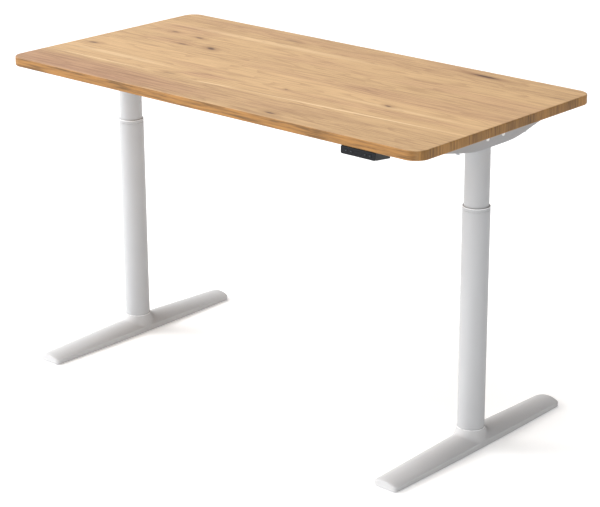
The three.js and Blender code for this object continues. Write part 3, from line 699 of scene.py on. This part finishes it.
def foot_skin(sizes):
    """The open upper skin of one foot about the origin, with its side band down to the rim."""
    skin = start(
        "foot_skin", bpy.ops.mesh.primitive_grid_add, size=2, x_subdivisions=56, y_subdivisions=300,
    )
    crowding = 0.07  # rows are closer together near the neck and at the ends
    for vertex in skin.data.vertices:
        along = foot_half_length * (vertex.co.y - crowding * math.sin(2 * math.pi * vertex.co.y))
        across_share = math.sin(vertex.co.x * math.pi / 2)
        into_corner = max(0.0, abs(along) - (foot_half_length - sizes.foot_corner))
        rounding = sizes.foot_corner - math.sqrt(max(0.0, sizes.foot_corner ** 2 - into_corner ** 2))
        taper = sizes.foot_taper * (along / foot_half_length) ** 2 / 2
        across = across_share * (foot_half_width - taper - rounding)
        crown = crown_height(sizes, along, across_share)
        vertex.co = (across, along, neck_height(sizes, across, along, crown))
    faces_at = {}
    for polygon in skin.data.polygons:
        for key in polygon.edge_keys:
            faces_at[key] = faces_at.get(key, 0) + 1
    pick(skin, "EDGE", lambda e: faces_at[tuple(sorted(e.vertices))] == 1)
    bpy.ops.mesh.extrude_region_move()
    bpy.ops.object.mode_set(mode="OBJECT")
    for vertex in skin.data.vertices:
        if vertex.select:
            vertex.co.z = foot_low.z
    bpy.ops.object.mode_set(mode="EDIT")
    bpy.ops.mesh.select_all(action="SELECT")
    bpy.ops.mesh.remove_doubles(threshold=MERGE)
    bpy.ops.mesh.normals_make_consistent(inside=False)
    bpy.ops.object.mode_set(mode="OBJECT")
    modifier(skin, "SOLIDIFY", thickness=sizes.foot_wall, offset=-1.0)
    return skin


def make_foot(sizes):
    """One foot about the origin: a thin cast shell, open below, with its bore for the tube."""
    foot = foot_skin(sizes)
    past = 10 * MM
    bore = rod("bore", tube_radius + FIT, (0, 0, -past), (0, 0, foot_high.z + past), ROUND)
    cut_away(foot, bore)
    smooth(foot, 30)
    return foot


def make_ribs(sizes):
    """The ribs and glide posts under one foot, about the origin."""
    low = plate_high.z + FIT
    high = low + sizes.rib_height
    post_y = (glide_low.y + glide_high.y) / 2
    post_radius = 9 * MM
    post_wall = 4.7 * MM
    post_foot = 8 * MM
    into_post = 2 * MM
    plate_edge = (plate_high.y - plate_low.y) / 2
    plate_screw_inset = 12 * MM
    rib_y = plate_edge - plate_screw_inset
    rib_end = foot_half_width - sizes.rib_inset
    spine_side = sizes.spine_width / 2
    pieces = []
    for end in (-1, 1):
        near, far = sorted((end * (rib_y - sizes.rib_width / 2), end * (rib_y + sizes.rib_width / 2)))
        pieces.append(block("rib", (-rib_end, near, low), (rib_end, far, high)))
        near, far = sorted((end * (rib_y + sizes.rib_width / 2), end * (post_y - post_radius + into_post)))
        pieces.append(block("spine", (-spine_side, near, low), (spine_side, far, high)))
        foot, head = (0, end * post_y, post_foot), (0, end * post_y, high)
        post = rod("post", post_radius, foot, head, 32, "NOTHING")
        modifier(post, "SOLIDIFY", thickness=post_wall, offset=-1.0)
        pieces.append(post)
    ribs = join(*pieces)
    break_edges(ribs, 0.8 * MM)
    smooth(ribs)
    return ribs


def make_neck_lip(sizes, name, middle, top):
    """The pale ring that closes the gap between neck and tube."""
    ring_radius = sizes.neck_ring / 2
    lip = start(
        name, bpy.ops.mesh.primitive_torus_add, major_radius=tube_radius + FIT + ring_radius,
        minor_radius=ring_radius, major_segments=ROUND, minor_segments=12,
        location=(middle.x, middle.y, top - ring_radius),
    )
    smooth(lip, 60)
    return lip


class DESK_OT_feet(bpy.types.Operator):
    """Makes the cast feet with their base plates and glides"""

    bl_idname = "desk.feet"
    bl_label = "Feet"

    def execute(self, context):
        sizes = context.scene.desk_sizes
        pattern = make_foot(sizes)
        ribs = make_ribs(sizes)
        for side in SIDES:
            body = side + "_base"
            low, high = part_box(side + "_foot")
            middle = Vector(((low.x + high.x) / 2, (low.y + high.y) / 2, 0))
            foot = moved(copy_of(pattern, side + "_foot_casting"), middle)
            keep(foot, body, LOOKS["cast_coat"], "cast_coat", side + "_foot")
            keep(moved(copy_of(ribs, side + "_foot_ribs"), middle), body, LOOKS["cast_coat"], "cast_coat")
            lip = make_neck_lip(sizes, side + "_neck_lip", middle, high.z)
            keep(lip, body, LOOKS["lip"], "grey_plastic")
            refine(side + "_base_plate", 0.6 * MM, LOOKS["steel"])
            for end in ("front", "back"):
                refine(f"{side}_glide_{end}", 0.5 * MM, LOOKS["black_plastic"])
        bpy.data.objects.remove(pattern)
        bpy.data.objects.remove(ribs)
        return {"FINISHED"}


# ---------------------------------------------------------------- lifting columns

def make_tube(name, low, high, wall):
    """A thin tube with softly broken rims, standing in the box from low to high."""
    middle = (low + high) / 2
    radius = (high.x - low.x) / 2
    tube = rod(name, radius, (middle.x, middle.y, low.z), (middle.x, middle.y, high.z), ROUND, "NOTHING")
    modifier(tube, "SOLIDIFY", thickness=wall, offset=-1.0)
    break_edges(tube, 0.4 * MM)
    smooth(tube)
    return tube


class DESK_OT_columns(bpy.types.Operator):
    """Makes the lower and upper tubes and the collars between them"""

    bl_idname = "desk.columns"
    bl_label = "Columns"

    def execute(self, context):
        sizes = context.scene.desk_sizes
        for side in SIDES:
            outer = make_tube(side + "_lower_tube", *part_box(side + "_outer_tube"), sizes.tube_wall)
            keep(outer, side + "_base", LOOKS["white_coat"], "white_coat", side + "_outer_tube")
            inner = make_tube(side + "_upper_tube", *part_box(side + "_inner_tube"), sizes.tube_wall)
            keep(inner, "top", LOOKS["white_coat"], "white_coat", side + "_inner_tube")
            low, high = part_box(side + "_collar")
            bore = (inner_high.x - inner_low.x) / 2 + FIT
            wall = (high.x - low.x) / 2 - bore
            collar = make_tube(side + "_collar_ring", low, high, wall)
            break_edges(collar, 0.7 * MM, 3, 40)
            smooth(collar)
            keep(collar, side + "_base", LOOKS["grey_plastic"], "grey_plastic", side + "_collar")
            # A thin white ring just under the collar's rim: painted highlight of the rim lit from above.
            proud = 0.1 * MM
            highlight_ring_top = high.z - sizes.highlight_ring_drop
            highlight_ring_low = Vector((low.x - proud, low.y - proud, highlight_ring_top - sizes.highlight_ring_height))
            highlight_ring_high = Vector((high.x + proud, high.y + proud, highlight_ring_top))
            lip = make_tube(side + "_collar_painted_highlight", highlight_ring_low, highlight_ring_high, 1.0 * MM)
            keep(lip, side + "_base", LOOKS["lip"], "grey_plastic")
        return {"FINISHED"}


# ---------------------------------------------------------------- arms, rails and drive

class DESK_OT_frame(bpy.types.Operator):
    """Makes the side arms and the rails between them"""

    bl_idname = "desk.frame"
    bl_label = "Arms and rails"

    def execute(self, context):
        # Arms and rails take the darker frame coat: painted shade for the shadow under the top.
        for side in SIDES:
            refine(side + "_arm", 1.6 * MM, LOOKS["frame_coat"], 4)
            for row in ("front", "back"):
                refine(f"rail_end_{side}_{row}", 1.0 * MM, LOOKS["frame_coat"])
        for row in ("front", "back"):
            refine("rail_" + row, 1.4 * MM, LOOKS["frame_coat"], 4)
        return {"FINISHED"}


class DESK_OT_drive(bpy.types.Operator):
    """Makes the motors, gearboxes and the control box"""

    bl_idname = "desk.drive"
    bl_label = "Drive"

    def execute(self, context):
        for side in SIDES:
            refine(side + "_gearbox_case", 1.2 * MM, LOOKS["black_plastic"])
            refine(side + "_gearbox_cover", 1.2 * MM, LOOKS["black_plastic"])
            refine(side + "_motor", 0.8 * MM, LOOKS["steel"], 2, 35)
        refine("control_box", 1.0 * MM, LOOKS["black_plastic"])
        refine("control_box_lid", 0.8 * MM, LOOKS["black_plastic"])
        refine("mains_inlet", 0.5 * MM, LOOKS["black_plastic"])
        return {"FINISHED"}


# ---------------------------------------------------------------- handset

class DESK_OT_handset(bpy.types.Operator):
    """Makes the handset under the front edge, with its keys"""

    bl_idname = "desk.handset"
    bl_label = "Handset"

    def execute(self, context):
        refine("handset_case", 2.2 * MM, LOOKS["black_plastic"], 4)
        refine("handset_fascia", 0.35 * MM, LOOKS["gloss_black"], 2, 50)
        refine("handset_display", 0.3 * MM, LOOKS["gloss_black"], 2, 50)
        size = context.scene.desk_sizes.key_mark
        for key, turn in (("key_up", 0), ("key_down", 180)):
            refine(key, 0.35 * MM, LOOKS["gloss_black"], 2, 50)
            self.mark(key, key + "_arrow", 3, size / 1.5, turn)
        for key in ("key_memory_1", "key_memory_2"):
            refine(key, 0.35 * MM, LOOKS["gloss_black"], 2, 50)
            self.mark(key, key + "_dot", 24, size * 0.4, 0)
        return {"FINISHED"}

    def mark(self, key, name, corners, radius, turn):
        """Prints a flat mark on the middle of a key."""
        low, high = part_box(key)
        middle = (low + high) / 2
        ink = start(
            name, bpy.ops.mesh.primitive_cylinder_add, vertices=corners, radius=radius, depth=0.16 * MM,
            location=(middle.x, low.y, middle.z), rotation=(math.radians(90), math.radians(turn), 0),
        )
        break_edges(ink, 0.05 * MM, 1, 30)
        keep(ink, key, LOOKS["mark"], "grey_plastic")


# ---------------------------------------------------------------- cables

# Where each cable has its clips, as shares of its way from left to right.
CLIPS = {"left_motor_cable": (0.65, 0.38), "right_motor_cable": (0.35, 0.62), "handset_cable": (0.12, 0.72)}


def fine_cable(part):
    """A round copy of one of the frame's cables."""
    cable = merged_copy(part, part + "_fine")
    bpy.ops.mesh.tris_convert_to_quads()
    bpy.ops.mesh.customdata_custom_splitnormals_clear()
    bpy.ops.object.mode_set(mode="OBJECT")
    modifier(cable, "SUBSURF", levels=2)
    smooth(cable, 60)
    return keep(cable, "top", LOOKS["rubber"], "rubber", part)


def cable_middle(cable, along):
    """Middle of a cable where it passes a place along the desk."""
    ring = 32
    near = sorted(cable.data.vertices, key=lambda v: abs(v.co.x - along))[:ring]
    return sum((v.co for v in near), Vector()) / ring


def make_clip(sizes, cable, name, along):
    """A saddle clip that holds a cable up to the top's underside."""
    hole_radius = 2.7 * MM
    floor = 1.5 * MM
    middle = cable_middle(cable, along)
    reach = sizes.clip_length
    ahead = cable_middle(cable, along + reach) - cable_middle(cable, along - reach)
    ahead.z = 0
    ahead.normalize()
    half = Vector((sizes.clip_length, sizes.clip_width, 0)) / 2
    low = -half + Vector((0, 0, middle.z - hole_radius - floor))
    clip = block(name, low, half + Vector((0, 0, top_low.z)))
    turn = ahead.to_track_quat("X", "Z").to_matrix().to_4x4()
    clip.data.transform(Matrix.Translation((middle.x, middle.y, 0)) @ turn)
    through = ahead * sizes.clip_length * 1.5
    cut_away(clip, rod("hole", hole_radius, middle - through, middle + through, 32))
    break_edges(clip, 0.6 * MM)
    smooth(clip)
    return keep(clip, "top", LOOKS["black_plastic"], "black_plastic")


class DESK_OT_cables(bpy.types.Operator):
    """Makes the motor and handset cables with their clips"""

    bl_idname = "desk.cables"
    bl_label = "Cables"

    def execute(self, context):
        sizes = context.scene.desk_sizes
        for part, places in CLIPS.items():
            cable = fine_cable(part)
            low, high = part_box(part)
            for number, place in enumerate(places):
                along = low.x + place * (high.x - low.x)
                make_clip(sizes, cable, f"{part}_clip_{number}", along)
        return {"FINISHED"}


# ---------------------------------------------------------------- screws

def make_screw(sizes):
    """A button head screw about the origin, its head towards +Z, with a hexagon socket."""
    radius = sizes.screw_head / 2
    height = 2.6 * MM
    head = start(
        "screw_pattern", bpy.ops.mesh.primitive_cylinder_add, vertices=32, radius=radius,
        depth=height, location=(0, 0, height / 2),
    )
    pick(head, "FACE", lambda f: f.normal.z > 0.9)
    bpy.ops.mesh.bevel(offset=1.5 * MM, segments=4, affect="EDGES")
    bpy.ops.object.mode_set(mode="OBJECT")
    socket = rod("socket", radius * 0.42, (0, 0, 1.0 * MM), (0, 0, 2 * height), 6)
    cut_away(head, socket)
    smooth(head)
    return head


def drive_in(pattern, name, place, towards, body, look="steel"):
    """A copy of the screw, its head at a place and facing a way."""
    screw = copy_of(pattern, name)
    turn = Vector(towards).to_track_quat("Z", "Y").to_matrix().to_4x4()
    screw.data.transform(Matrix.Translation(Vector(place)) @ turn)
    keep(screw, body, LOOKS[look], "steel")


class DESK_OT_screws(bpy.types.Operator):
    """Makes the screws that show on the arms, rails and control box"""

    bl_idname = "desk.screws"
    bl_label = "Screws"

    def execute(self, context):
        pattern = make_screw(context.scene.desk_sizes)
        for side, outward in (("left", -1), ("right", 1)):
            self.fix_arm(pattern, side, outward)
            self.fix_rails(pattern, side, outward)
            self.close_control_box(pattern, side, outward)
        bpy.data.objects.remove(pattern)
        return {"FINISHED"}

    def fix_arm(self, pattern, side, outward):
        """Screws with white heads in the arm's outer side, bolts below it and wood screws in its end tabs.
        """
        low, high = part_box(side + "_arm")
        face = high.x if outward > 0 else low.x
        cap_drop = 27 * MM
        for number, y in enumerate((-12 * MM, 50 * MM)):
            place = (face, y, top_low.z - cap_drop)
            drive_in(pattern, f"{side}_arm_side_screw_{number}", place, (outward, 0, 0), "top", "lip")
        bolt_inset, bolt_rise, lean = 8 * MM, 8.5 * MM, 0.2
        for number, (y, tilt) in enumerate(((-118 * MM, -lean), (150 * MM, lean))):
            place = (face - outward * bolt_inset, y, low.z + bolt_rise)
            drive_in(pattern, f"{side}_arm_bolt_{number}", place, (0, tilt, -1), "top")
        tab_inset, tab_sheet = 17 * MM, 2.5 * MM
        for number, y in enumerate((low.y + tab_inset, high.y - tab_inset)):
            place = ((low.x + high.x) / 2, y, high.z - tab_sheet)
            drive_in(pattern, f"{side}_arm_wood_screw_{number}", place, DOWN, "top")

    def fix_rails(self, pattern, side, outward):
        """Two screws at each rail's end, which clamp the rail end in it."""
        for row in ("front", "back"):
            low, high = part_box("rail_" + row)
            end = high.x if outward > 0 else low.x
            for number, inset in enumerate((18 * MM, 60 * MM)):
                place = (end - outward * inset, (low.y + high.y) / 2, low.z)
                drive_in(pattern, f"rail_{row}_{side}_screw_{number}", place, DOWN, "top")

    def close_control_box(self, pattern, side, outward):
        """Screws in the corners of the control box."""
        low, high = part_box("control_box")
        inset = 9 * MM
        for number, y in enumerate((low.y + inset, high.y - inset)):
            place = (outward * (high.x - inset), y, low.z)
            drive_in(pattern, f"control_box_{side}_screw_{number}", place, DOWN, "top")


# ---------------------------------------------------------------- stage

class DESK_OT_stage(bpy.types.Operator):
    """Makes the pale floor, the soft studio light and the camera"""

    bl_idname = "desk.stage"
    bl_label = "Stage"

    def execute(self, context):
        self.lay_floor(context.scene.desk_colours)
        self.light_room(context.scene)
        self.hang_softbox("key_softbox", (-4.2, -2.4, 4.0), (0, 0, 0.5), 2.6, 160)
        self.hang_softbox("top_softbox", (0.2, 0.6, 5.0), (0, 0, 0.6), 3.5, 60)
        self.place_camera(context.scene)
        context.scene.view_settings.view_transform = "Standard"
        return {"FINISHED"}

    def lay_floor(self, colours):
        """A plain pale floor, a little brighter than its light."""
        floor = start("floor", bpy.ops.mesh.primitive_plane_add, size=60)
        look, _, shader = new_material("studio_floor")
        shader.inputs["Base Color"].default_value = linear(colours.floor)
        shader.inputs["Roughness"].default_value = 0.9
        shader.inputs["Emission Color"].default_value = grey(1)
        shader.inputs["Emission Strength"].default_value = 0.2
        floor.data.materials.append(look)

    def light_room(self, scene):
        """A room that is bright on the left and dim on the right."""
        scene.world = bpy.data.worlds.new("studio")
        scene.world.use_nodes = True
        sky = scene.world.node_tree
        place = node(sky, "ShaderNodeTexCoord").outputs["Generated"]
        to_dim_side = (0.754, 0.656, -0.2)
        way = node(sky, "ShaderNodeVectorMath", {0: place, 1: to_dim_side}, operation="DOT_PRODUCT")
        bright_until, dim_from = -0.85, 0.4
        bright, dim = 1.9, 0.06
        steps = {0: way.outputs["Value"], 1: bright_until, 2: dim_from, 3: bright, 4: dim}
        glow = node(sky, "ShaderNodeMapRange", steps)
        background = sky.nodes["Background"]
        background.inputs["Color"].default_value = grey(1)
        sky.links.new(glow.outputs[0], background.inputs["Strength"])

    def hang_softbox(self, name, place, aim, size, power):
        """A square area light at a place, turned to what it lights."""
        light = bpy.data.lights.new(name, "AREA")
        light.shape = "SQUARE"
        light.size = size
        light.energy = power
        item = bpy.data.objects.new(name, light)
        item.location = place
        item.rotation_euler = (Vector(aim) - Vector(place)).to_track_quat("-Z", "Y").to_euler()
        bpy.context.scene.collection.objects.link(item)

    def place_camera(self, scene):
        """A long lens from the front right, a little above the top."""
        camera = bpy.data.objects.new("camera", bpy.data.cameras.new("camera"))
        scene.collection.objects.link(camera)
        look_down, turn = 0.336, 0.716
        camera.location = (3.2969, -3.6438, 2.1045)
        camera.rotation_euler = (math.pi / 2 - look_down, 0, turn)
        camera.data.sensor_width = 36
        camera.data.lens = 117.2
        camera.data.shift_x = -0.0461
        camera.data.shift_y = -0.0100
        camera.data.clip_end = 200
        scene.camera = camera


class DESK_PT_panel(bpy.types.Panel):
    """Lists the desk's pieces in the sidebar"""

    bl_label = "Standing desk"
    bl_idname = "DESK_PT_panel"
    bl_space_type = "VIEW_3D"
    bl_region_type = "UI"
    bl_category = "Desk"

    def draw(self, context):
        for operator in OPERATORS:
            self.layout.operator(operator.bl_idname)
        for group in (context.scene.desk_sizes, context.scene.desk_colours):
            for name in group.__annotations__:
                self.layout.prop(group, name)


OPERATORS = (
    DESK_OT_top,
    DESK_OT_feet,
    DESK_OT_columns,
    DESK_OT_frame,
    DESK_OT_drive,
    DESK_OT_handset,
    DESK_OT_cables,
    DESK_OT_screws,
    DESK_OT_stage,
)
CLASSES = (DeskSizes, DeskColours, *OPERATORS, DESK_PT_panel)


def register():
    for item in CLASSES:
        bpy.utils.register_class(item)
    bpy.types.Scene.desk_sizes = bpy.props.PointerProperty(type=DeskSizes)
    bpy.types.Scene.desk_colours = bpy.props.PointerProperty(type=DeskColours)


def unregister():
    del bpy.types.Scene.desk_colours
    del bpy.types.Scene.desk_sizes
    for item in reversed(CLASSES):
        bpy.utils.unregister_class(item)


def main():
    """Makes the desk and its stage."""
    register()
    make_materials(bpy.context.scene.desk_colours)
    bpy.ops.desk.top()
    bpy.ops.desk.feet()
    bpy.ops.desk.columns()
    bpy.ops.desk.frame()
    bpy.ops.desk.drive()
    bpy.ops.desk.handset()
    bpy.ops.desk.cables()
    bpy.ops.desk.screws()
    bpy.ops.desk.stage()


if __name__ == "__main__":
    main()
